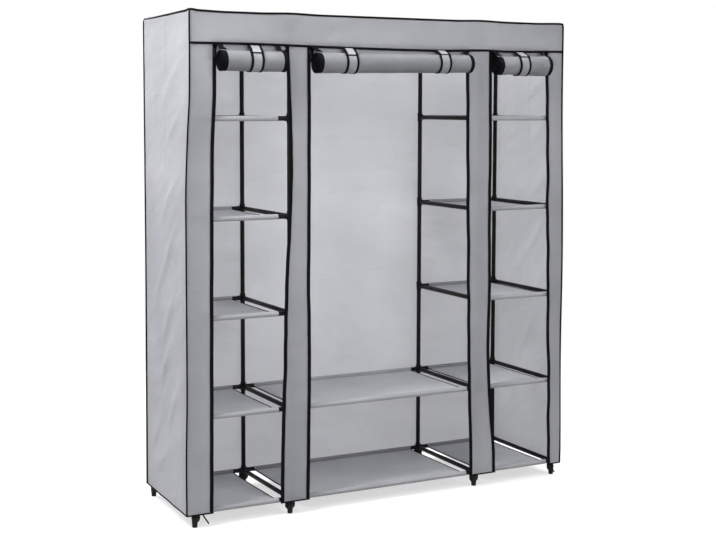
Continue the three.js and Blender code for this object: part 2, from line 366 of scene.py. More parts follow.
def nonWovenCloth(name, look):
    material = newMaterial(name)
    place = putPlace(material)
    patches = putTexture(material, "TexNoise", place, {
        "Scale": look["patch"], "Detail": 5.0, "Roughness": 0.55})
    tone = putRamp(material, patches, [(0.32, look["dark"]), (0.68, look["light"])])
    # short pressed fibres that lie every way
    streaks = putPlace(material, stretch=(1.0, 1.0, 2.6), turn=(0.4, 0.3, 0.6))
    fibres = putTexture(material, "TexNoise", streaks, {
        "Scale": 520.0, "Detail": 4.0, "Roughness": 0.7, "Distortion": 1.2})
    fibreTone = putRamp(material, fibres, [(0.30, (0.86, 0.86, 0.87)), (0.62, (1.0, 1.0, 1.0))])
    colour = put(material, "Mix", {"Factor": 1.0}, data_type="RGBA", blend_type="MULTIPLY")
    wire(material, tone, "Color", colour, 6)
    wire(material, fibreTone, "Color", colour, 7)
    # welded points about a millimetre apart
    welds = putTexture(material, "TexVoronoi", place, {"Scale": 820.0, "Randomness": 0.25})
    # soft creases: level ones on the back and front, leaning ones on the sides
    leaning = putPlace(material, stretch=(2.2, 1.0, 2.2), turn=(1.05, 0.0, 0.0))
    folds = putTexture(material, "TexNoise", leaning, {
        "Scale": look["fold"], "Detail": 3.0, "Distortion": 0.5})
    bump = putBump(material, folds, "Fac", look["foldStrength"], look["foldDepth"])
    if look["crease"]:
        for axis in ("X", "Z"):
            bump = putBump(material, putCrease(material, place, axis), "Result", 0.35, look["crease"], bump)
    bump = putBump(material, fibres, "Fac", 0.25, 0.0004, bump)
    bump = putBump(material, welds, "Distance", 0.35, 0.0005, bump)
    shine = putRange(material, patches, "Fac", look["roughness"] - 0.08, look["roughness"] + 0.08)
    surface = putSurface(
        material, {"Specular IOR Level": 0.32, "Sheen Weight": 0.12, "Sheen Roughness": 0.5},
        colour, 2, bump, shine)
    # thin cloth lets more light through than it throws back
    glow = put(material, "Mix", {"Factor": look["glow"], 7: white}, data_type="RGBA")
    wire(material, colour, 2, glow, 6)
    through = put(material, "BsdfTranslucent")
    wire(material, glow, 2, through, "Color")
    wire(material, bump, "Normal", through, "Normal")
    both = put(material, "MixShader", {"Fac": look["through"]})
    wire(material, surface, "BSDF", both, 1)
    wire(material, through, "BSDF", both, 2)
    return putOutput(material, both, "Shader")


def wovenTape(name, dark, light, rib, roughness):
    # black tape with fine ribs across it and a little lint
    material = newMaterial(name)
    place = putPlace(material, turn=(0.0, 0.0, 0.785))
    ribs = putTexture(material, "TexWave", place, {
        "Scale": rib, "Distortion": 0.6, "Detail": 2.0}, bands_direction="DIAGONAL")
    lint = putTexture(material, "TexNoise", place, {"Scale": 240.0, "Detail": 5.0, "Roughness": 0.7})
    tone = putRamp(material, lint, [(0.35, dark), (0.72, light)])
    bump = putBump(material, ribs, "Fac", 0.5, 0.0004)
    bump = putBump(material, lint, "Fac", 0.25, 0.0004, bump)
    inputs = {"Roughness": roughness, "Specular IOR Level": 0.04}
    return putOutput(material, putSurface(material, inputs, tone, "Color", bump), "BSDF")


def hardFinish(name, dark, light, roughness, metallic, grain, grainDepth, coat=0.0):
    material = newMaterial(name)
    place = putPlace(material)
    dust = putTexture(material, "TexNoise", place, {"Scale": 14.0, "Detail": 6.0, "Roughness": 0.65})
    tone = putRamp(material, dust, [(0.38, dark), (0.74, light)])
    peel = putTexture(material, "TexNoise", place, {"Scale": grain, "Detail": 2.0})
    shine = putRange(material, dust, "Fac", roughness - 0.07, roughness + 0.1)
    bump = putBump(material, peel, "Fac", 0.3, grainDepth)
    inputs = {"Metallic": metallic, "Specular IOR Level": 0.16, "Coat Weight": coat, "Coat Roughness": 0.3}
    return putOutput(material, putSurface(material, inputs, tone, "Color", bump, shine), "BSDF")


cloths = {kind: nonWovenCloth(kind + "Cloth", look) for kind, look in clothLooks.items()}
blackBinding = wovenTape("blackBinding", (0.0035, 0.0035, 0.0045), (0.0100, 0.0100, 0.0120), 340.0, 0.78)
zipTapeCloth = wovenTape("zipTapeCloth", (0.0030, 0.0030, 0.0040), (0.0085, 0.0085, 0.0105), 420.0, 0.74)
tieCord = wovenTape("tieCord", (0.0060, 0.0060, 0.0070), (0.0180, 0.0180, 0.0200), 900.0, 0.75)
powderCoat = hardFinish(
    "powderCoat", (0.0040, 0.0040, 0.0048), (0.0100, 0.0100, 0.0115), 0.42, 0.0, 900.0, 0.00012)
connectorPlastic = hardFinish(
    "connectorPlastic", (0.0040, 0.0040, 0.0044), (0.0105, 0.0105, 0.0115), 0.5, 0.0, 1500.0, 0.0001)
footPlastic = hardFinish(
    "footPlastic", (0.0045, 0.0045, 0.0050), (0.0120, 0.0120, 0.0130), 0.55, 0.0, 1200.0, 0.00012)
zipLacquer = hardFinish(
    "zipLacquer", (0.0060, 0.0060, 0.0065), (0.0180, 0.0180, 0.0190), 0.34, 0.3, 700.0, 0.00005, 0.3)
zipNylon = hardFinish(
    "zipNylon", (0.0040, 0.0040, 0.0045), (0.0110, 0.0110, 0.0120), 0.42, 0.0, 900.0, 0.00005)
print("materials made")


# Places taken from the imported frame

def middleOfBox(node):
    low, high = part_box(node)
    return (low + high) / 2


crossTubeGap = 0.0103  # from a post's axis to the end of a cross tube
leftTubeLow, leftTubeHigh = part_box("top_tube_left_front")
rightTubeLow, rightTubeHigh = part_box("top_tube_right_front")
columns = {
    "left": leftTubeLow.x - crossTubeGap,
    "divider_left": leftTubeHigh.x + crossTubeGap,
    "divider_right": rightTubeLow.x - crossTubeGap,
    "right": rightTubeHigh.x + crossTubeGap,
}
columnNodes = {
    "left": "end_frame_left",
    "divider_left": "divider_frame_left",
    "divider_right": "divider_frame_right",
    "right": "end_frame_right",
}
rows = {"front": middleOfBox("top_tube_left_front").y, "back": middleOfBox("top_tube_left_back").y}
levels = [middleOfBox("shelf_left_" + str(number)).z for number in range(1, 6)]
levels.append(middleOfBox("top_tube_left_front").z)
topLevel = len(levels) - 1
bays = {
    "left": {"from": "left", "to": "divider_left", "shelves": 5},
    "middle": {"from": "divider_left", "to": "divider_right", "shelves": 2},
    "right": {"from": "divider_right", "to": "right", "shelves": 5},
}
coverLow = Vector((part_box("cover_left")[0].x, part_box("cover_header")[0].y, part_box("cover_left")[0].z))
coverHigh = Vector((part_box("cover_right")[1].x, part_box("cover_back")[1].y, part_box("cover_top")[1].z))
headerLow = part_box("cover_header")[0].z
hemZ = coverLow.z


# Tubes of the frame

tube = {"radius": 0.008, "wall": 0.0011, "sides": 28, "rim": 0.0004, "bore": 0.012, "boreStep": 0.00005}
tubeMasters = {}


def hollow(piece, rims, rim, ends, lip, step, depth):
    # rounds the rims and sinks a socket into the ends
    startEdit(piece, "EDGE")
    pick(piece, rims)
    bevel(rim)
    pick(piece, ends, "FACE")
    inset(lip)
    inset(step, -depth)
    endEdit()


def makeTubeMaster(axis, length):
    piece = addCylinder(tube["sides"], tube["radius"], length)
    hollow(piece, lambda edge: True, tube["rim"], manySided, tube["wall"] - tube["rim"],
           tube["boreStep"], tube["bore"])
    piece.rotation_euler = {"x": (0, math.pi / 2, 0), "y": (math.pi / 2, 0, 0), "z": (0, 0, 0)}[axis]
    smooth(settle(piece))
    return piece


def addTube(name, axis, start, end, node):
    start, end = Vector(start), Vector(end)
    length = round((end - start).length, 5)
    if (axis, length) not in tubeMasters:
        tubeMasters[axis, length] = makeTubeMaster(axis, length)
    piece = copyPiece(tubeMasters[axis, length], name, (start + end) / 2)
    return dress(piece, name, "wardrobe", [powderCoat], [node])


connector = {
    "radius": 0.0101, "height": 0.034, "topCut": 0.0075, "sides": 32, "rim": 0.0008, "taper": 0.9,
    "socket": 0.00815, "socketDepth": 0.009, "armRadius": 0.0094, "armReach": 0.0165,
    "armSocketDepth": 0.0045, "socketStep": 0.00004, "leastLip": 0.0002, "armOverlap": 0.004, "plugIn": 0.008,
}
armGap = connector["armReach"] - connector["armOverlap"]


def makeHub(axis, closedTop):
    piece = addCylinder(connector["sides"], connector["radius"], connector["height"])
    half = connector["height"] / 2
    top = half - (connector["topCut"] if closedTop else 0)
    startEdit(piece, "FACE")
    pick(piece, facesUp)
    bpy.ops.transform.translate(value=(0, 0, top - half))
    pick(piece, facesDown)
    scaleBy(connector["taper"], connector["taper"])
    endEdit()
    lip = connector["radius"] * connector["taper"] - connector["rim"] - connector["socket"]
    hollow(piece, lambda edge: liesAt(edge, 2, -half) or liesAt(edge, 2, top), connector["rim"],
           lambda face: manySided(face) and (facesDown(face) or not closedTop),
           max(lip, connector["leastLip"]), connector["socketStep"], connector["socketDepth"])
    if axis == "y":
        piece.rotation_euler.x = math.pi / 2
    return settle(piece)


def makeArm(direction):
    reach = connector["armReach"]
    piece = addCylinder(connector["sides"], connector["armRadius"], reach, (0, 0, reach / 2))
    hollow(piece, lambda edge: liesAt(edge, 2, reach), connector["rim"] / 2,
           lambda face: manySided(face) and facesUp(face),
           connector["armRadius"] - connector["rim"] / 2 - connector["socket"],
           connector["socketStep"], connector["armSocketDepth"])
    piece.rotation_euler = {
        "east": (0, math.pi / 2, 0), "west": (0, -math.pi / 2, 0), "north": (-math.pi / 2, 0, 0)}[direction]
    return settle(piece)


turned = {"east": "west", "west": "east"}
connectorMasters = {}


def addConnector(name, place, arms, backRow, closedTop, node):
    # a connector of the back row is one of the front row turned round
    asked = tuple(sorted(turned[arm] if backRow else arm for arm in arms))
    key = (asked, closedTop)
    if key not in connectorMasters:
        hub = makeHub("z", closedTop)
        master = unite(hub, [makeArm(direction) for direction in (*asked, "north")])
        smooth(master, "plastic")
        connectorMasters[key] = master
    piece = copyPiece(connectorMasters[key], name, place, math.pi if backRow else 0)
    return dress(piece, name, "wardrobe", [connectorPlastic], [node])


def shelfAt(bay, level):
    return level < bays[bay]["shelves"] or level == topLevel


for column, x in columns.items():
    node = columnNodes[column]
    for row, y in rows.items():
        for level, z in enumerate(levels):
            arms = [arm for bay, facts in bays.items() for end, arm in (("to", "west"), ("from", "east"))
                    if facts[end] == column and shelfAt(bay, level)]
            addConnector(f"connector_{column}_{row}_{level + 1}", (x, y, z), arms, row == "back",
                         level == topLevel, node)
        for level in range(topLevel):
            start = levels[level] + connector["height"] / 2 - connector["plugIn"]
            end = levels[level + 1] - connector["height"] / 2 + connector["plugIn"]
            addTube(f"post_{column}_{row}_{level + 1}", "z", (x, y, start), (x, y, end), node)
    for level, z in enumerate(levels):
        start = (x, rows["front"] + armGap, z)
        end = (x, rows["back"] - armGap, z)
        addTube(f"side_tube_{column}_{level + 1}", "y", start, end, node)

for bay, facts in bays.items():
    start, end = columns[facts["from"]] + armGap, columns[facts["to"]] - armGap
    for row, y in rows.items():
        z = levels[topLevel]
        node = f"top_tube_{bay}_{row}"
        addTube(node + "_bar", "x", (start, y, z), (end, y, z), node)
        for level in range(facts["shelves"]):
            z = levels[level]
            name = f"shelf_tube_{bay}_{level + 1}_{row}"
            addTube(name, "x", (start, y, z), (end, y, z), f"shelf_{bay}_{level + 1}")

# The hanging rail and the T connectors that carry it
railPlace = middleOfBox("hanging_rail")
railStart = (columns["divider_left"] + armGap, railPlace.y, railPlace.z)
railEnd = (columns["divider_right"] - armGap, railPlace.y, railPlace.z)
addTube("hanging_rail_bar", "x", railStart, railEnd, "hanging_rail")
for column, arm in (("divider_left", "east"), ("divider_right", "west")):
    tee = unite(makeHub("y", False), [makeArm(arm)])
    tee.location = (columns[column], railPlace.y, railPlace.z)
    smooth(settle(tee), "plastic")
    dress(tee, "rail_connector_" + column, "wardrobe", [connectorPlastic],
          [columnNodes[column]])

for master in [*tubeMasters.values(), *connectorMasters.values()]:
    bpy.data.objects.remove(master)
print("frame built")


# Feet: a tapered leg with rounded webs under the lowest tubes

foot = {
    "radius": 0.0086, "topRadius": 0.0115, "legTop": 0.0347, "sides": 28, "soleRim": 0.0012,
    "webReach": 0.0185, "webStart": 0.015, "webTop": 0.0437, "webThickness": 0.0042, "webRound": 0.0130,
    "webSteps": 3, "webInner": 0.5, "edge": 0.0005, "soleWall": 0.0022, "soleSlope": 0.0004,
    "soleDepth": 0.0012, "plug": 0.016, "plugGap": 0.0004,
}


def makeWeb(direction):
    inner = foot["radius"] * foot["webInner"]
    length = foot["webReach"] - inner
    height = foot["webTop"] - foot["webStart"]
    piece = addBox(
        (length, foot["webThickness"], height), (inner + length / 2, 0, foot["webStart"] + height / 2))
    startEdit(piece, "EDGE")
    pick(piece, lambda edge: liesAt(edge, 0, foot["webReach"]) and liesAt(edge, 2, foot["webStart"]))
    bevel(foot["webRound"], foot["webSteps"])
    pick(piece, lambda edge: span(edge, 1) < near and any(
        v.co.x > inner + near for v in edge.verts) and edge.calc_length() > foot["edge"])
    bevel(foot["edge"])
    endEdit()
    piece.rotation_euler.z = {"east": 0, "west": math.pi, "north": math.pi / 2}[direction]
    return settle(piece)


def makeFootMaster(arms):
    leg = addCylinder(foot["sides"], foot["topRadius"], foot["legTop"], (0, 0, foot["legTop"] / 2))
    startEdit(leg, "FACE")
    pick(leg, facesDown)
    share = foot["radius"] / foot["topRadius"]
    scaleBy(share, share)
    bevel(foot["soleRim"], 3)
    pick(leg, lambda face: facesDown(face) and manySided(face))
    inset(foot["soleWall"])
    inset(foot["soleSlope"], -foot["soleDepth"])
    pick(leg, facesUp)
    inset(foot["topRadius"] - connector["socket"] + foot["plugGap"])
    bpy.ops.mesh.extrude_region_move(TRANSFORM_OT_translate={"value": (0, 0, foot["plug"])})
    endEdit()
    master = unite(leg, [makeWeb(direction) for direction in (*arms, "north")])
    smooth(master, "plastic")
    return master


for column, arms in {
    "left": ["east"], "divider_left": ["east", "west"], "divider_right": ["east", "west"], "right": ["west"],
}.items():
    backArms = [turned[arm] for arm in arms]
    for row, webs, turn in (("front", arms, 0), ("back", backArms, math.pi)):
        master = makeFootMaster(webs)
        node = f"foot_{column}_{row}"
        piece = copyPiece(master, node + "_leg", (columns[column], rows[row], 0), turn)
        dress(piece, node + "_leg", "wardrobe", [footPlastic], [node])
        bpy.data.objects.remove(master)
print("feet built")


# Cloth made from a flat grid whose points are moved to their place

def makeCloth(name, across, along, place, thickness):
    bpy.ops.mesh.primitive_grid_add(
        x_subdivisions=across, y_subdivisions=along, size=1, location=(0.5, 0.5, 0))
    piece = settle(bpy.context.object)
    for corner in piece.data.vertices:
        corner.co = place(min(max(corner.co.x, 0), 1), min(max(corner.co.y, 0), 1))
    applyModifier(piece, "SOLIDIFY", thickness=thickness, offset=0)
    smooth(piece, "cloth")
    piece.name = name
    return piece


def byPath(path, share):
    place = min(max(share, 0), 1) * (len(path) - 1)
    index = min(int(round(place)), len(path) - 1)
    return path[index]


# Shelves: cloth with a sleeve round its front and back tube

shelf = {
    "sleeve": 0.0086, "thickness": 0.0007, "seamReach": 0.016, "seamLift": 0.0012, "arcSteps": 22,
    "flatSteps": 26, "flatAngle": 20, "sag": 0.0035, "across": 22, "bindingWidth": 0.004,
    "bindingThickness": 0.0006, "bindingEdge": 0.0010, "bindingLift": 0.0009, "sleeveOpen": 15,
    "bindingSteps": 40, "fold": 0.0012,
}
# gaps beside the shelf cloths, from the middles of the posts
shelfInsets = {"left": (0.040, 0.045), "middle": (0.042, 0.038), "right": (0.042, 0.028)}
flatDrop = shelf["sleeve"] * math.sin(math.radians(shelf["flatAngle"]))


def shelfPath(z):
    # from the seam under the front tube round it, level to the back tube, round it to the back seam
    front, back = rows["front"], rows["back"]
    radius, flat = shelf["sleeve"], z - flatDrop
    around = 360 - shelf["sleeveOpen"]

    def arc(middle, first):
        steps = shelf["arcSteps"]
        turns = [math.radians(first - around * step / steps) for step in range(steps + 1)]
        return [(middle + radius * math.cos(turn), z + radius * math.sin(turn)) for turn in turns]

    path = [(front + shelf["seamReach"], flat - shelf["seamLift"])]
    path += arc(front, around - shelf["flatAngle"] - 360)
    start, end = path[-1][0], back - (path[-1][0] - front)
    steps = shelf["flatSteps"]
    path += [(start + (end - start) * step / steps, flat) for step in range(1, steps)]
    path += arc(back, 180 + shelf["flatAngle"])
    path.append((back - shelf["seamReach"], flat - shelf["seamLift"]))
    return path


def shelfDip(x, y, start, end, number):
    across = (x - start) / (end - start)
    front, back = rows["front"] + shelf["sleeve"], rows["back"] - shelf["sleeve"]
    depth = min(max((y - front) / (back - front), 0), 1)
    dip = shelf["sag"] * 4 * depth * (1 - depth) * (0.3 + 0.7 * math.sin(math.pi * across))
    fold = shelf["fold"] * ripple(x * 7, y * 9, number) * math.sin(math.pi * depth)
    return dip + fold


def addShelfCloth(bay, number, z):
    start = columns[bays[bay]["from"]] + shelfInsets[bay][0]
    end = columns[bays[bay]["to"]] - shelfInsets[bay][1]
    path = shelfPath(z)

    def place(u, v):
        y, height = byPath(path, v)
        x = start + (end - start) * u
        inFlat = abs(height - (z - flatDrop)) < near
        return Vector((x, y, height - (shelfDip(x, y, start, end, number) if inFlat else 0)))

    across = shelf["across"] * (2 if bay == "middle" else 1)
    cloth = makeCloth("shelf", across, len(path) - 1, place, shelf["thickness"])
    name = f"shelf_cloth_{bay}_{number}"
    dress(cloth, name, "wardrobe", [cloths["shelf"], cloths["sleeve"]],
          [f"shelf_{bay}_{number}"])
    # faces round the tubes take the sleeve cloth, which is darkened partly as painted shade
    for face in cloth.data.polygons:
        fromTube = min(abs(face.center.y - rows["front"]), abs(face.center.y - rows["back"]))
        face.material_index = int(fromTube < shelf["sleeve"] + shelf["thickness"])
    length = sum(math.dist(a, b) for a, b in zip(path, path[1:]))
    for side, edge, inward in (("west", start, 1), ("east", end, -1)):
        lift, corner = shelf["bindingLift"], edge - inward * 0.6 * shelf["bindingEdge"]
        inside = edge + inward * shelf["bindingWidth"]
        outside = edge - inward * shelf["bindingEdge"]
        profile = [(inside, lift), (corner, lift), (outside, 0.0), (corner, -lift), (inside, -lift)]

        def placeBinding(u, v):
            x, rise = byPath(profile, u)
            reach = rows["back"] - rows["front"] - 2 * shelf["sleeve"]
            y = rows["front"] + shelf["sleeve"] + reach * v
            dip = shelfDip(edge, y, start, end, number)
            return Vector((x, y, z - flatDrop - dip + rise))

        binding = makeCloth(
            "binding", len(profile) - 1, shelf["bindingSteps"], placeBinding, shelf["bindingThickness"])
        dress(binding, f"{name}_binding_{side}", "wardrobe", [blackBinding])


for bay, facts in bays.items():
    for number in range(1, facts["shelves"] + 1):
        addShelfCloth(bay, number, levels[number - 1])
print("shelves laid")


# Cover: panels between shared corner and top lines

cover = {
    "thickness": 0.0008, "backRound": 0.012, "frontRound": 0.004, "frontSag": 0.0028, "bulge": 0.003,
    "crease": 0.0030, "creaseLean": 1.05, "topSink": 0.004, "backIn": 0.005,
    "peak": 0.004, "peakReach": 0.018, "sagReach": 0.12, "postFlat": 0.012, "topWave": 0.001,
    "hemWave": 0.0035, "headerIn": 0.0008, "headerOut": 0.001, "headerSoft": 0.0030, "headerFine": 0.0016,
}
# how far each corner stands out from the upright end planes, by height
cornerBulge = {
    "front_left": [(0.046, 0.014), (0.24, 0.014), (0.44, 0.010), (0.94, 0.009), (1.14, 0.008), (1.33, 0.000),
                   (1.43, -0.006), (1.58, -0.0080), (1.72, -0.0080)],
    "front_right": [(0.046, 0.006), (0.11, 0.007), (0.49, 0.001), (0.80, 0.003), (1.06, 0.000),
                    (1.25, -0.005), (1.44, -0.0085), (1.72, -0.0085)],
    "back_left": [(0.046, -0.002), (0.35, -0.004), (0.90, -0.007), (1.72, -0.008)],
    "back_right": [(0.046, 0.000), (0.50, -0.004), (0.95, -0.005), (1.40, -0.008), (1.72, -0.008)],
}
# how far the side's top edge hangs below the front corner, by depth from the front
sideTopSag = [(0.0, 0.0), (0.10, 0.0010), (0.30, 0.0055), (0.45, 0.0075)]
# how far the header's lower seam runs above its plain height, by place from the middle
headerSeam = [(-0.74, 0.003), (-0.50, 0.0035), (-0.20, -0.001), (0.19, -0.003), (0.39, 0.002), (0.49, 0.0),
              (0.74, 0.005)]


def roundIn(distance, radius):
    # how far a rounded corner draws in at a distance from its end
    if distance >= radius:
        return 0.0
    return radius - math.sqrt(max(radius ** 2 - (radius - distance) ** 2, 0))


def cornerRadius(corner):
    return cover["backRound"] if "back" in corner else cover["frontRound"]


def cornerDrop(corner):
    return cornerRadius(corner) * (1 - math.cos(math.pi / 4))


def cornerLine(corner, share):
    # vertical corner of the cover, from the hem up
    side = -1 if "left" in corner else 1
    drop = cornerDrop(corner)
    z = hemZ + (coverHigh.z - drop - hemZ) * share
    drawnIn = roundIn(coverHigh.z - z, cornerRadius(corner))
    x = (coverLow.x if side < 0 else coverHigh.x) + side * (lineThrough(cornerBulge[corner], z) - drawnIn)
    y = coverLow.y + drawnIn if "front" in corner else coverHigh.y - cover["backIn"] - drawnIn
    return Vector((x, y, z))


def cornerAt(corner, z):
    share = (z - hemZ) / (coverHigh.z - cornerDrop(corner) - hemZ)
    return cornerLine(corner, share)


sideEnds = {
    "front": ("front_left", "front_right"), "back": ("back_left", "back_right"),
    "left": ("front_left", "back_left"), "right": ("front_right", "back_right"),
}
sideOutward = {
    "front": Vector((0, -1, 0)), "back": Vector((0, 1, 0)),
    "left": Vector((-1, 0, 0)), "right": Vector((1, 0, 0)),
}


def topLine(side, share):
    # top edge of the cover, from left to right or from front to back
    ends = sideEnds[side]
    start, end = cornerLine(ends[0], 1), cornerLine(ends[1], 1)
    place = start.lerp(end, share)
    reach = (end - start).length
    if side in ("left", "right"):
        sag = lineThrough(sideTopSag, share * reach)
    else:
        nearestPost = min(abs(place.x - x) for x in columns.values())
        sag = cover["frontSag"] * ease(nearestPost / cover["sagReach"])
    nearest, distance = (ends[0], share * reach) if share < 0.5 else (ends[1], (1 - share) * reach)
    drop = cornerDrop(nearest)
    drawnIn = roundIn(distance + drop, cornerRadius(nearest))
    # the cloth stands up in a small peak over the front left corner
    peak = cover["peak"] * math.exp(-(distance / cover["peakReach"]) ** 2) if nearest == "front_left" else 0
    place.z = coverHigh.z - sag - drawnIn + peak
    return place + sideOutward[side] * (drop - drawnIn)


def hemLine(side, share):
    start, end = cornerLine(sideEnds[side][0], 0), cornerLine(sideEnds[side][1], 0)
    place = start.lerp(end, share)
    wave = cover["hemWave"] * ripple(share * 5, 3.1, len(side)) * math.sin(math.pi * share)
    if side in ("left", "right"):
        return place + Vector((wave, 0, 0))
    return place + Vector((0, wave, 0))


def betweenLines(bottom, top, left, right, u, v):
    # a surface that meets four edge lines
    straight = bottom(u).lerp(top(u), v) + left(v).lerp(right(v), u)
    low = bottom(0).lerp(bottom(1), u)
    high = top(0).lerp(top(1), u)
    return straight - low.lerp(high, v)


# soft folds of the side panels: depth share and height of each end, then the ridge's width and height
sideFolds = [
    ((0.08, 1.58), (0.70, 1.40), 0.020, 0.0045),
    ((0.10, 1.42), (0.60, 1.22), 0.018, 0.0050),
    ((0.10, 1.22), (0.66, 0.98), 0.018, 0.0055),
    ((0.16, 1.04), (0.60, 0.80), 0.016, 0.0060),
    ((0.40, 0.92), (0.86, 0.68), 0.020, 0.0050),
    ((0.20, 0.82), (0.64, 0.56), 0.016, 0.0060),
    ((0.34, 0.62), (0.70, 0.40), 0.018, 0.0060),
    ((0.12, 0.50), (0.50, 0.26), 0.018, 0.0050),
    ((0.56, 0.36), (0.90, 0.16), 0.022, 0.0045),
    ((0.78, 1.56), (0.72, 1.20), 0.026, 0.0030),
]


def foldHeight(across, z, reach):
    total = 0.0
    for first, last, width, height in sideFolds:
        start = Vector((first[0] * reach, first[1]))
        way = Vector((last[0] * reach, last[1])) - start
        point = Vector((across * reach, z)) - start
        share = point.dot(way) / way.length_squared
        fade = ease(1 - abs(2 * share - 1)) if 0 < share < 1 else 0
        away = (point - way * share).length
        total += height * fade * math.exp(-(away / width) ** 2)
    return total


def creases(across, up, lean, seed):
    # small soft ridges, longer along the direction that leans from upright
    along = up * math.cos(lean) - across * math.sin(lean)
    over = across * math.cos(lean) + up * math.sin(lean)
    small = 0.5 * ripple(over * 29, along * 12, seed + 5)
    return cover["crease"] * (ripple(over * 13, along * 5, seed) + small)


def window(u, v, edge=0.12):
    return ease(u / edge) * ease((1 - u) / edge) * ease(v / edge) * ease((1 - v) / edge)


def uprightPanel(side, u, v):
    left, right = sideEnds[side]
    return betweenLines(
        lambda s: hemLine(side, s), lambda s: topLine(side, s),
        lambda s: cornerLine(left, s), lambda s: cornerLine(right, s), u, v)


def sidePanel(side):
    outward = -1 if side == "left" else 1
    reach = coverHigh.y - coverLow.y

    def place(u, v):
        point = uprightPanel(side, u, v)
        soft = cover["bulge"] * (0.5 + ripple(point.y * 4.2, point.z * 2.6, 7 * outward))
        soft += creases(point.y, point.z, cover["creaseLean"], 2 * outward)
        soft += foldHeight(u, point.z, reach)
        point.x += outward * soft * window(u, v, 0.08)
        return point

    return place


def backPanel(u, v):
    point = uprightPanel("back", u, v)
    soft = cover["bulge"] * (0.5 + ripple(point.x * 2.4, point.z * 2.4, 21))
    soft += creases(point.x, point.z, math.pi / 2, 5)
    point.y += soft * window(u, v, 0.06)
    return point


def topPanel(u, v):
    point = betweenLines(
        lambda s: topLine("front", s), lambda s: topLine("back", s),
        lambda s: topLine("left", s), lambda s: topLine("right", s), u, v)
    overPost = min(abs(point.x - x) for x in columns.values())
    sink = cover["topSink"] * ease((overPost - cover["postFlat"]) / cover["sagReach"])
    sink += cover["topWave"] * ripple(point.x * 6, point.y * 6, 4)
    point.z -= sink * window(u, v, 0.1)
    return point


headerPlane = coverLow.y + cover["thickness"] / 2


def headerBottom(share):
    left, right = cornerAt("front_left", headerLow).x, cornerAt("front_right", headerLow).x
    x = left + (right - left) * share
    return Vector((x, headerPlane - cover["headerIn"], headerLow + lineThrough(headerSeam, x)))


def headerPanel(u, v):
    bottom, top = headerBottom(u), topLine("front", u)
    point = bottom.lerp(top, v)
    soft = cover["headerSoft"] * ripple(point.x * 5.5, point.z * 9, 13)
    soft += cover["headerFine"] * ripple(point.x * 19, point.z * 9, 3)
    point.y -= (cover["headerOut"] + abs(soft)) * window(u, v)
    return point


panels = {
    "cover_top": {"grid": (90, 30), "place": topPanel, "flat": (1.5, 0.45), "held": "laid"},
    "cover_back": {"grid": (96, 110), "place": backPanel, "flat": (1.5, 1.67), "held": "hung"},
    "cover_left": {"grid": (56, 150), "place": sidePanel("left"), "flat": (0.45, 1.67), "held": "hung"},
    "cover_right": {"grid": (56, 150), "place": sidePanel("right"), "flat": (0.45, 1.67), "held": "hung"},
    "cover_header": {"grid": (150, 14), "place": headerPanel, "flat": (1.5, 0.108), "held": "hung"},
}
for node, facts in panels.items():
    panel = makeCloth(node, *facts["grid"], facts["place"], cover["thickness"])
    dress(panel, node + "_cloth", "wardrobe", [cloths["cover"]], [node])
print("cover hung")


# Front strips with zip tape on the edges that face a door

zipper = {
    "tapeWidth": 0.0165, "tapeThickness": 0.0006, "overlap": 0.003, "toothPitch": 0.0021,
    "toothSize": (0.0026, 0.0014, 0.0011), "top": headerLow - 0.001,
    "cornerIn": 0.0006, "tapeGrid": (4, 120), "tapeUp": 0.001, "firstTooth": 0.006, "toothIn": 0.0012,
    "toothGap": 0.0001, "narrow": (0.7, 1, 0.6),
}
# where each strip's edge with a zip runs, by height
strips = {
    "strip_left": {
        "right": [(0.046, -0.670), (0.40, -0.667), (0.95, -0.663), (1.30, -0.658), (1.43, -0.651),
                  (1.612, -0.649)],
        "wave": {"right": 0.0010},
    },
    "strip_divider_left": {
        "left": [(0.046, -0.421), (0.23, -0.419), (0.50, -0.411), (0.85, -0.401), (1.10, -0.388),
                 (1.25, -0.386), (1.40, -0.391), (1.612, -0.400)],
        "right": [(0.046, -0.311), (0.50, -0.305), (0.86, -0.307), (1.20, -0.305), (1.612, -0.306)],
        "wave": {"left": 0.0022, "right": 0.0012},
    },
    "strip_divider_right": {
        "left": [(0.046, 0.347), (0.13, 0.346), (0.35, 0.338), (0.70, 0.330), (1.10, 0.323), (1.40, 0.319),
                 (1.612, 0.314)],
        "right": [(0.046, 0.461), (0.13, 0.458), (0.32, 0.440), (0.50, 0.430), (0.75, 0.434), (1.00, 0.431),
                  (1.30, 0.430), (1.612, 0.427)],
        "wave": {"left": 0.0032, "right": 0.0014},
    },
    "strip_right": {
        "left": [(0.046, 0.700), (0.10, 0.698), (0.48, 0.691), (0.80, 0.683), (1.10, 0.676), (1.35, 0.672),
                 (1.612, 0.662)],
        "wave": {"left": 0.0040},
    },
}
# the strips left and right of each door
doorStrips = {
    "left": ("strip_left", "strip_divider_left"),
    "middle": ("strip_divider_left", "strip_divider_right"),
    "right": ("strip_divider_right", "strip_right"),
}
stripGrid = (14, 150)
stripPlane = coverLow.y - 0.0002
tapePlane = coverLow.y + 0.0004
# how the strips swing, and how far from the header and the hem they lie still
swing = {"wide": 0.0028, "fine": 0.0009, "stillFrom": 1.50, "above": 0.25, "hemShare": 0.35, "below": 0.2}
zipWave = {"stillFrom": 1.56, "above": 0.15, "below": 0.12}


def zipHalves(door):
    # each half's letter, its strip, and the strip's edge that it is sewn to
    left, right = doorStrips[door]
    return ("a", left, "right"), ("b", right, "left")


def stripEdge(strip, side, z):
    if side in strips[strip]:
        # the zips lie in small waves, still at the header and the hem
        still = ease((zipWave["stillFrom"] - z) / zipWave["above"]) * ease((z - hemZ) / zipWave["below"])
        wave = strips[strip]["wave"][side] * still * ripple(z * 11, z * 3, len(strip) + len(side))
        return lineThrough(strips[strip][side], z) + wave
    return cornerAt("front_" + side, z).x


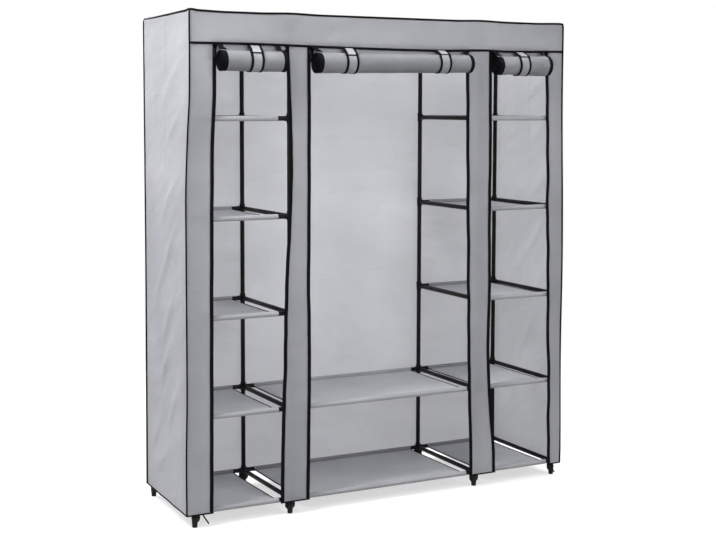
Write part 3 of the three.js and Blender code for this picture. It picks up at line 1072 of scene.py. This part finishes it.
def stripWave(x, z):
    # how far the strips swing to the front or back, still near the header and the hem
    quiet = ease((swing["stillFrom"] - z) / swing["above"])
    quiet *= swing["hemShare"] + (1 - swing["hemShare"]) * ease((z - hemZ) / swing["below"])
    return quiet * (swing["wide"] * ripple(x * 6, z * 3.1, 9) + swing["fine"] * ripple(x * 18, z * 8, 2))


def stripPanel(strip):
    def place(u, v):
        z = hemZ + (headerLow + 0.006 - hemZ) * v
        left, right = stripEdge(strip, "left", z), stripEdge(strip, "right", z)
        if "left" in strips[strip]:
            left += zipper["tapeWidth"] - zipper["overlap"]
        if "right" in strips[strip]:
            right -= zipper["tapeWidth"] - zipper["overlap"]
        x = left + (right - left) * u
        fromCorner = {"strip_left": u, "strip_right": 1 - u}.get(strip, 1)
        corner = ease(1 - fromCorner / 0.12) * zipper["cornerIn"]
        return Vector((x, stripPlane + corner + stripWave(x, z), z))

    return place


def addTape(name, strip, side):
    inward = 1 if side == "left" else -1

    def place(u, v):
        z = hemZ + zipper["tapeUp"] + (zipper["top"] - hemZ) * v
        x = stripEdge(strip, side, z) + inward * zipper["tapeWidth"] * u
        return Vector((x, tapePlane + stripWave(x, z), z))

    tape = makeCloth(name, *zipper["tapeGrid"], place, zipper["tapeThickness"])
    dress(tape, name + "_tape", "wardrobe", [zipTapeCloth])
    # one tooth, repeated up the tape and then bent to its edge
    teeth = addBox(zipper["toothSize"], (0, 0, hemZ + zipper["firstTooth"]))
    startEdit(teeth, "FACE")
    pick(teeth, lambda face: face.normal.y < -facing)
    bpy.ops.transform.resize(value=zipper["narrow"])
    endEdit()
    count = int((zipper["top"] - hemZ - 2 * zipper["firstTooth"]) / zipper["toothPitch"])
    applyModifier(teeth, "ARRAY", count=count, use_relative_offset=False, use_constant_offset=True,
                  constant_offset_displace=(0, 0, zipper["toothPitch"]))
    front = tapePlane - zipper["tapeThickness"] / 2 - zipper["toothSize"][1] / 2 - zipper["toothGap"]
    for corner in teeth.data.vertices:
        z = corner.co.z
        x = stripEdge(strip, side, z) + inward * zipper["toothIn"]
        corner.co = Vector((corner.co.x + x, corner.co.y + front + stripWave(x, z), z))
    dress(teeth, name + "_teeth", "wardrobe", [zipNylon])


for strip in strips:
    cutFrom = stripPanel(strip)
    piece = makeCloth(strip, *stripGrid, cutFrom, cover["thickness"])
    dress(piece, strip + "_cloth", "wardrobe", [cloths["cover"]], [strip])
    widths = [(cutFrom(1, share) - cutFrom(0, share)).length for share in (0, 0.25, 0.5, 0.75, 1)]
for door in doorStrips:
    for half, strip, side in zipHalves(door):
        addTape(f"zip_{door}_{half}", strip, side)
print("strips and zips sewn")


# Piping over the seams

piping = {
    "front_left": 0.0030, "front_right": 0.0034, "back_left": 0.0050, "back_right": 0.0034, "top": 0.0038,
    "header": 0.0040, "hem": 0.0028, "out": 0.0008, "seamOut": 0.0018, "step": 0.012,
}


def addPiping(name, points, radius, closed=False, look=blackBinding):
    bpy.ops.curve.primitive_bezier_curve_add()
    cord = bpy.context.object
    cord.data.splines.clear()
    line = cord.data.splines.new("POLY")
    line.points.add(len(points) - 1)
    for knot, point in zip(line.points, points):
        knot.co = (*point, 1)
    line.use_cyclic_u = closed
    cord.data.dimensions = "3D"
    cord.data.bevel_depth = radius
    cord.data.bevel_resolution = 2
    cord.data.use_fill_caps = True
    chooseOnly(cord)
    bpy.ops.object.convert(target="MESH")
    piece = bpy.context.object
    fixNormals(piece)
    smooth(piece, "cord")
    return dress(piece, name, "wardrobe", [look])


def shares(length):
    count = max(int(length / piping["step"]), 2)
    return [index / count for index in range(count + 1)]


width, depth = coverHigh.x - coverLow.x, coverHigh.y - coverLow.y
height = coverHigh.z - hemZ
ring = [topLine("front", s) for s in shares(width)]
ring += [topLine("right", s) for s in shares(depth)][1:]
ring += [topLine("back", 1 - s) for s in shares(width)][1:]
ring += [topLine("left", 1 - s) for s in shares(depth)][1:-1]
addPiping("piping_top", ring, piping["top"], closed=True)
for corner in cornerBulge:
    outward = Vector((-1 if "left" in corner else 1, -1 if "front" in corner else 1, 0)) * piping["out"]
    addPiping("piping_" + corner, [cornerLine(corner, s) + outward for s in shares(height)], piping[corner])
seamOut = Vector((0, -piping["seamOut"], 0))
addPiping("piping_header", [headerBottom(s) + seamOut for s in shares(width)], piping["header"])
for side, length in (("left", depth), ("right", depth), ("back", width)):
    addPiping("piping_hem_" + side, [hemLine(side, s) for s in shares(length)], piping["hem"])
for strip in strips:
    left, right = stripEdge(strip, "left", hemZ), stripEdge(strip, "right", hemZ)
    line = []
    for share in shares(right - left):
        x = left + (right - left) * share
        line.append(Vector((x, stripPlane + stripWave(x, hemZ), hemZ)))
    addPiping("piping_hem_" + strip, line, piping["hem"])
print("piping sewn")


# Doors rolled up below the header

roll = {
    "tapeLeft": 0.018, "tapeRight": 0.014, "stepsPerTurn": 28, "core": 0.004, "thickness": 0.0007,
    "turns": 13.7, "endFlange": 0.0007, "flangeReach": 0.016, "endShift": 0.0016, "endReach": 0.02,
    "middle": 0.0345, "pressed": 0.07,
}
# each roll's two ends: shift along it, rise from the drawn place, and radius;
# and how far before the cover it lies flat when the door is down
doors = {
    "left": {
        "across": 16, "crumple": 0.0007, "flat": 0.0045,
        "shift": (0.003, -0.016), "rise": (-0.002, -0.003), "radius": (0.0348, 0.0345),
    },
    "middle": {
        "across": 34, "crumple": 0.0007, "flat": 0.0045,
        "shift": (-0.009, -0.012), "rise": (-0.004, 0.003), "radius": (0.0357, 0.0325),
    },
    "right": {
        "across": 34, "crumple": 0.0030, "flat": 0.0115,
        "shift": (-0.024, -0.030), "rise": (-0.001, 0.001), "radius": (0.0340, 0.0378),
    },
}


# straps: shift from the drawn place and how far round the roll the short flap reaches
straps = {
    "strap_left": {"door": "left", "shift": -0.001, "flapEnd": 138},
    "strap_middle_1": {"door": "middle", "shift": -0.006, "flapEnd": 140},
    "strap_middle_2": {"door": "middle", "shift": -0.010, "flapEnd": 120},
    "strap_right": {"door": "right", "shift": -0.034, "flapEnd": 128},
}


def rollColumns(start, end, across):
    # places along a roll, with lines where the black tape ends
    inner = [start + roll["tapeLeft"] + (end - start - roll["tapeLeft"] - roll["tapeRight"]) * s / across
             for s in range(across + 1)]
    leftEnd = [start + roll["tapeLeft"] * s / 3 for s in range(3)]
    rightEnd = [end - roll["tapeRight"] * s / 3 for s in (2, 1, 0)]
    return leftEnd + inner + rightEnd


rollBoxes = {door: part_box("door_roll_" + door) for door in doors}


def rollEnds(door):
    low, high = rollBoxes[door]
    return low.x + doors[door]["shift"][0], high.x + doors[door]["shift"][1]


def rollAt(door, x):
    # the roll's centre line and radius: it lies against the fall
    low, high = rollBoxes[door]
    start, end = rollEnds(door)
    share = (x - start) / (end - start)
    rise, radius = (
        one + (other - one) * share for one, other in (doors[door]["rise"], doors[door]["radius"]))
    return Vector((high.y - radius, low.z + roll["middle"] + rise)), radius


def flatten(piece, door):
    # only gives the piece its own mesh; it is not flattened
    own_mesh(piece)


def addRoll(door, facts):
    start, end = rollEnds(door)
    places = rollColumns(start, end, facts["across"])
    count = int(roll["turns"] * roll["stepsPerTurn"])

    def place(u, v):
        x = places[int(round(u * (len(places) - 1)))]
        centre, radius = rollAt(door, x)
        turn = v * count / roll["stepsPerTurn"]
        angle = -2 * math.pi * turn
        reach = radius - roll["thickness"] / 2 - (radius - roll["core"]) / roll["turns"] * turn
        side = (x - start) / (end - start)
        fromEnd = min(x - start, end - x)
        soft = facts["crumple"] * ripple(x * 22 + 5, 1.6 * math.cos(angle), 1.6 * math.sin(angle))
        soft += facts["crumple"] * 0.8 * ripple(x * 60, 3.2 * math.cos(angle), 3.2 * math.sin(angle) + 9)
        flange = roll["endFlange"] * ease(1 - fromEnd / roll["flangeReach"])
        reach *= 1 + (soft * ease(fromEnd / roll["endReach"]) + flange) / radius
        shift = roll["endShift"] * ripple(turn * 1.7, side * 3) * ease(1 - fromEnd / roll["endReach"])
        return Vector((x + shift, centre.x + reach * math.cos(angle), centre.y + reach * math.sin(angle)))

    piece = makeCloth("roll", len(places) - 1, count, place, roll["thickness"])
    dress(piece, f"door_roll_{door}_cloth", "door_" + door, [cloths["door"], zipTapeCloth],
          ["door_roll_" + door])
    for face in piece.data.polygons:
        x = face.center.x
        face.material_index = int(x < start + roll["tapeLeft"] or x > end - roll["tapeRight"])
    flatten(piece, door)
    dropLength = headerLow - hemZ - (headerLow - rollAt(door, start)[0].y)


# the ends of the zips, bunched between the header and the ends of the roll
tail = {
    "width": 0.017, "thickness": 0.0008, "steps": 14, "bow": 0.004, "twist": 0.0015, "lift": 0.001,
    "from": 100, "turn": 25, "endOut": 0.003, "endUp": 0.001,
}


def addTails(door):
    start, end = rollEnds(door)
    for name, x, lean in (
        ("west_outer", start + 0.004, 0.010), ("west_inner", start + 0.016, -0.012),
        ("east_outer", end - 0.018, 0.004), ("east_inner", end - 0.024, 0.014),
    ):
        def place(u, v):
            centre, radius = rollAt(door, x)
            angle = math.radians(tail["from"] - tail["turn"] * v)
            radius += tail["lift"]
            onRoll = Vector((centre.x + radius * math.cos(angle), centre.y + radius))
            point = onRoll.lerp(Vector((coverLow.y - tail["endOut"], headerLow + tail["endUp"])), v)
            bow = tail["bow"] * math.sin(math.pi * v)
            twist = tail["twist"] * math.sin(2 * math.pi * v) * (u - 0.5)
            return Vector((x + lean * v + tail["width"] * (u - 0.5), point.x - bow + twist, point.y))

        piece = makeCloth("tail", 4, tail["steps"], place, tail["thickness"])
        dress(piece, f"zip_tail_{door}_{name}", "door_" + door, [zipTapeCloth])
        flatten(piece, door)


fall = {
    "underStrip": 0.016, "tape": 0.013, "rows": 44, "across": 30, "thickness": 0.0006, "neck": 0.006,
    "drop": 1.478, "inward": 0.0002, "soft": 0.0002,
}


def addFall(door):
    low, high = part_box("door_fall_" + door)
    leftStrip, rightStrip = doorStrips[door]
    middleY = (low.y + high.y) / 2 + fall["inward"]
    columnCount = fall["across"] + 5

    def edges(v):
        # the openings' edges at the height that this row has when the door is down
        down = high.z + (low.z - high.z) * v - fall["drop"] * ease(v)
        return stripEdge(leftStrip, "right", down), stripEdge(rightStrip, "left", down)

    def place(u, v):
        z = high.z + (low.z - high.z) * v
        openLeft, openRight = edges(v)
        # columns that keep the edges of the black tape straight
        column = int(round(u * columnCount))
        if column < 3:
            x = openLeft + (-fall["underStrip"], 0, fall["tape"])[column]
        elif column > columnCount - 3:
            x = openRight + (fall["underStrip"], 0, -fall["tape"])[columnCount - column]
        else:
            inside = openRight - openLeft - 2 * fall["tape"]
            x = openLeft + fall["tape"] + inside * (column - 2) / (columnCount - 4)
        neck = ease(1 - (z - low.z) / fall["neck"])
        narrow = low.x + (high.x - low.x) * u
        return Vector((x + (narrow - x) * neck, middleY + fall["soft"] * ripple(x * 11, z * 4), z))

    piece = makeCloth("fall", columnCount, fall["rows"], place, fall["thickness"])
    dress(piece, f"door_fall_{door}_cloth", "", [cloths["fall"], zipTapeCloth],
          ["door_fall_" + door])
    for face in piece.data.polygons:
        openLeft, openRight = edges((high.z - face.center.z) / (high.z - low.z))
        x = face.center.x
        face.material_index = int(x < openLeft + fall["tape"] or x > openRight - fall["tape"])
    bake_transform(piece)
    wide = place(1, 0).x - place(0, 0).x


strap = {
    "thickness": 0.0009, "binding": 0.0085, "bindingThickness": 0.0017, "flapLift": 0.0013, "arcSteps": 60,
    "seam": 0.0055, "seamLift": 0.0004, "lean": 0.014, "leanDepth": 0.030, "gap": 0.0011, "pressed": 0.12,
    "across": 6, "leadSteps": 5, "backSteps": 6, "startOut": 0.0004, "startDown": 0.0012,
}


def strapPath(node, lift, endAngle):
    # from under the header over the roll, round its front, and up behind it
    low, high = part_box(node)
    middle = (low.x + high.x) / 2 + straps[node]["shift"]
    centre, radius = rollAt(straps[node]["door"], middle)
    radius += strap["gap"] + lift
    start = Vector((coverLow.y - strap["startOut"] - lift, headerLow - strap["startDown"]))
    away = start - centre
    startAngle = math.atan2(away.y, away.x) + math.acos(radius / away.length)
    path = [tuple(start)]
    tangent = centre + radius * Vector((math.cos(startAngle), math.sin(startAngle)))
    for step in range(1, strap["leadSteps"]):
        path.append(tuple(start.lerp(tangent, step / strap["leadSteps"])))
    steps = strap["arcSteps"]
    endTurn = math.radians(endAngle)
    for step in range(steps + 1):
        angle = startAngle + (endTurn - startAngle) * step / steps
        path.append((centre.x + radius * math.cos(angle), centre.y + radius * math.sin(angle)))
    if endAngle >= 360:
        for step in range(1, strap["backSteps"] + 1):
            path.append((centre.x + radius, centre.y + (high.z - centre.y) * step / strap["backSteps"]))
    return path


def addStrap(node):
    shift = straps[node]["shift"]
    low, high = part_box(node)
    made = []

    def add(name, path, left, right, thickness, look):
        def place(u, v):
            y, z = byPath(path, v)
            # the strap leans a little from the header down to the roll's front
            lean = strap["lean"] * ease((z - headerLow + strap["leanDepth"]) / strap["leanDepth"])
            lean *= y < coverLow.y
            return Vector((shift + lean + left + (right - left) * u, y, z))

        piece = makeCloth(name, strap["across"], len(path) - 1, place, thickness)
        made.append(dress(piece, name, "wardrobe", [look]))
        return piece

    whole = strapPath(node, 0.0, 360)
    flap = strapPath(node, strap["flapLift"], straps[node]["flapEnd"])
    half = strap["binding"] / 2
    left, right = low.x + half, high.x - half
    lower = add(node + "_band", whole, left, right, strap["thickness"], cloths["strap"])
    add(node + "_flap", flap, left, right, strap["thickness"], cloths["flap"])
    for side, edge in (("west", low.x), ("east", high.x)):
        for name, path in (("_binding_", whole), ("_flap_binding_", flap)):
            add(node + name + side, path, edge - half, edge + half, strap["bindingThickness"], blackBinding)
    seam = [point for point in flap if math.dist(point, flap[-1]) < strap["seam"]]
    seamThickness = strap["bindingThickness"] + strap["seamLift"]
    add(node + "_seam", seam, low.x - half, high.x + half, seamThickness, blackBinding)
    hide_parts(node)
    for piece in made:
        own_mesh(piece)


for door, facts in doors.items():
    addRoll(door, facts)
    addTails(door)
    addFall(door)
for node in straps:
    addStrap(node)
print("doors rolled")


# Zip sliders with their pull tabs

slider = {
    "size": (0.0088, 0.0052, 0.0135), "nose": 0.72, "rim": 0.0008, "bridge": (0.0030, 0.0030, 0.0085),
    "tab": (0.0052, 0.0011, 0.0250), "clear": 0.0012, "bridgeIn": 0.0004, "bridgeUp": 0.0005,
    "bridgeRound": 0.0022, "tabOut": 0.0016, "tabUp": 0.0035, "tabRound": 0.0016, "tabFrame": 0.0009,
    "grooveSide": 0.0003, "groove": 0.0002,
}


def makeSliderMaster():
    # built round the middle of its back face, the front to -Y
    width, depth, height = slider["size"]
    body = addBox((width, depth / 2, height), (0, -depth / 4, 0))
    startEdit(body, "FACE")
    pick(body, facesDown)
    scaleBy(slider["nose"], 1)
    pick(body, lambda edge: span(edge, 1) > depth / 3, "EDGE")
    bevel(slider["rim"] * 2, 3)
    pick(body, lambda edge: all(v.co.y < -depth / 2 + near for v in edge.verts))
    bevel(slider["rim"])
    endEdit()
    bridgeY = -depth / 2 - slider["bridge"][1] / 2 + slider["bridgeIn"]
    bridge = addBox(slider["bridge"], (0, bridgeY, slider["bridgeUp"]))
    startEdit(bridge, "EDGE")
    pick(bridge, lambda edge: span(edge, 0) > near and all(
        v.co.y < -depth / 2 - near for v in edge.verts))
    bevel(slider["bridgeRound"], 4)
    endEdit()
    tabDepth, tabHeight = slider["tab"][1:]
    tab = addBox(slider["tab"], (0, -depth / 2 - slider["tabOut"], -tabHeight / 2 + slider["tabUp"]))
    startEdit(tab, "EDGE")
    pick(tab, lambda edge: span(edge, 1) > tabDepth / 2)
    bevel(slider["tabRound"], 4)
    pick(tab, lambda face: abs(face.normal.y) > facing, "FACE")
    inset(slider["tabFrame"])
    inset(slider["grooveSide"], -slider["groove"])
    endEdit()
    whole = unite(body, [bridge, tab])
    smooth(whole)
    return whole


sliderMaster = makeSliderMaster()
for door in doors:
    for half, strip, edge in zipHalves(door):
        node = f"zip_slider_{door}_{half}"
        low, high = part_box(node)
        # half way between the places that the zip has at the header and at the hem
        x = (stripEdge(strip, edge, headerLow) + stripEdge(strip, edge, hemZ)) / 2
        place = (x, high.y - slider["clear"], high.z - slider["size"][2] / 2)
        piece = copyPiece(sliderMaster, node + "_body", place)
        dress(piece, node + "_body", f"zip_{door}_{half}", [zipLacquer], [node])
bpy.data.objects.remove(sliderMaster)
print("sliders fitted")


# Ties at the hem beside the front corner feet

def addTie(node, points, thickness):
    places = [(index / (len(points) - 1), point) for index, point in enumerate(points)]
    line = [Vector([lineThrough([(s, p[axis]) for s, p in places], step / tieSteps) for axis in range(3)])
            for step in range(tieSteps + 1)]
    return addPiping(node + "_cord", line, thickness, look=tieCord)


tieSteps = 14
for node in ("hem_tie_left", "hem_tie_right"):
    low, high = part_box(node)
    y = (low.y + high.y) / 2 - 0.0004
    tie = addTie(node, [
        (low.x + 0.003, y, high.z), (low.x + 0.010, y - 0.001, high.z - 0.012),
        (low.x + 0.018, y - 0.0004, high.z - 0.024), (high.x - 0.002, y, low.z + 0.002),
    ], 0.0024)
    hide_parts(node)

knotX = columns["right"] - 0.014
knotY = coverLow.y + 0.001
addTie("hem_knot_right", [
    (knotX + 0.006, knotY, hemZ + 0.002), (knotX, knotY - 0.003, hemZ - 0.006),
    (knotX - 0.005, knotY - 0.001, hemZ - 0.001), (knotX - 0.001, knotY - 0.004, hemZ - 0.004),
    (knotX + 0.004, knotY - 0.001, hemZ - 0.010),
], 0.0012)
print("ties sewn")


# Camera, lamps and floor

view = {
    "place": (-2.3127, -4.3547, 1.4053), "pitch": 85.05, "roll": -0.15, "yaw": -27.74,
    "lens": 67.93, "shift": -0.063, "sensor": 36,
}
bpy.ops.object.camera_add(
    location=view["place"], rotation=[math.radians(view[turn]) for turn in ("pitch", "roll", "yaw")])
camera = bpy.context.object
camera.data.sensor_width = view["sensor"]
camera.data.lens = view["lens"]
camera.data.shift_y = view["shift"]
bpy.context.scene.camera = camera

lamps = {
    "leftKey": {"place": (-2.6, -0.6, 3.2), "aim": (-0.7, 0, 1.4), "size": 1.5, "power": 142},
    "frontFill": {"place": (-0.1, -2.7, 2.9), "aim": (0, -0.2, 1.3), "size": 2.0, "power": 52},
    "backGlow": {"place": (-1.1, 2.8, 3.3), "aim": (-0.4, 0.2, 1.5), "size": 2.4, "power": 128},
    "rightGlow": {"place": (2.4, 0.95, 3.25), "aim": (0.6, 0.1, 1.5), "size": 2.2, "power": 136},
    "topSoft": {"place": (0, 0.1, 4.2), "aim": (0, 0, 0), "size": 2.6, "power": 14},
}
for name, facts in lamps.items():
    bpy.ops.object.light_add(type="AREA", location=facts["place"])
    lamp = bpy.context.object
    lamp.name = name
    lamp.data.shape = "DISK"
    lamp.data.size = facts["size"]
    lamp.data.energy = facts["power"]
    aim = Vector(facts["aim"]) - Vector(facts["place"])
    lamp.rotation_euler = aim.to_track_quat("-Z", "Y").to_euler()

ambient = 0.41


def raysSeen(material):
    # one for rays from the camera and for those that mirrors and glass pass on
    path = put(material, "LightPath")
    seen, output = path, "Is Camera Ray"
    for other in ("Is Glossy Ray", "Is Transmission Ray"):
        either = put(material, "Math", operation="MAXIMUM")
        wire(material, seen, output, either, 0)
        wire(material, path, other, either, 1)
        seen, output = either, "Value"
    return seen


world = bpy.data.worlds.new("studio")
bpy.context.scene.world = world
world.use_nodes = True
world.node_tree.nodes.clear()
softLight = put(world, "Background", {"Color": white, "Strength": ambient})
whiteWall = put(world, "Background", {"Color": white, "Strength": 1.0})
eitherLight = putEither(
    world, raysSeen(world), "Value", (softLight, "Background"), (whiteWall, "Background"))
putOutput(world, eitherLight, "Shader", "OutputWorld")

floorLook = {
    "radius": 5.0, "sides": 96, "under": 0.0005, "fade": (1.4, 3.6), "dark": 0.40, "light": 0.42,
    "lift": 0.60,
}
bpy.ops.mesh.primitive_circle_add(
    vertices=floorLook["sides"], radius=floorLook["radius"], fill_type="NGON",
    location=(0, 0, -floorLook["under"]))
studioFloor = settle(bpy.context.object)
studioFloor.name = "studioFloor"
paint = newMaterial("studioFloor")
place = putPlace(paint)
distance = put(paint, "VectorMath", operation="LENGTH")
wire(paint, place, "Vector", distance, 0)
fade = putRange(paint, distance, "Value", 0.0, 1.0, floorLook["fade"], "SMOOTHSTEP")
grain = putTexture(paint, "TexNoise", place, {"Scale": 1.2, "Detail": 3.0})
tone = putRamp(paint, grain, [(0.3, (floorLook["dark"],) * 3), (0.7, (floorLook["light"],) * 3)])
matte = put(paint, "BsdfDiffuse")
wire(paint, tone, "Color", matte, "Color")
lift = put(paint, "Emission", {"Color": white, "Strength": floorLook["lift"]})
lifted = put(paint, "AddShader")
wire(paint, matte, "BSDF", lifted, 0)
wire(paint, lift, "Emission", lifted, 1)
asSeen = putEither(paint, raysSeen(paint), "Value", (matte, "BSDF"), (lifted, "Shader"))
clear = put(paint, "BsdfTransparent")
faded = putEither(paint, fade, "Result", (asSeen, "Shader"), (clear, "BSDF"))
studioFloor.data.materials.append(putOutput(paint, faded, "Shader"))

bpy.context.scene.view_settings.view_transform = "Standard"

print("studio ready")
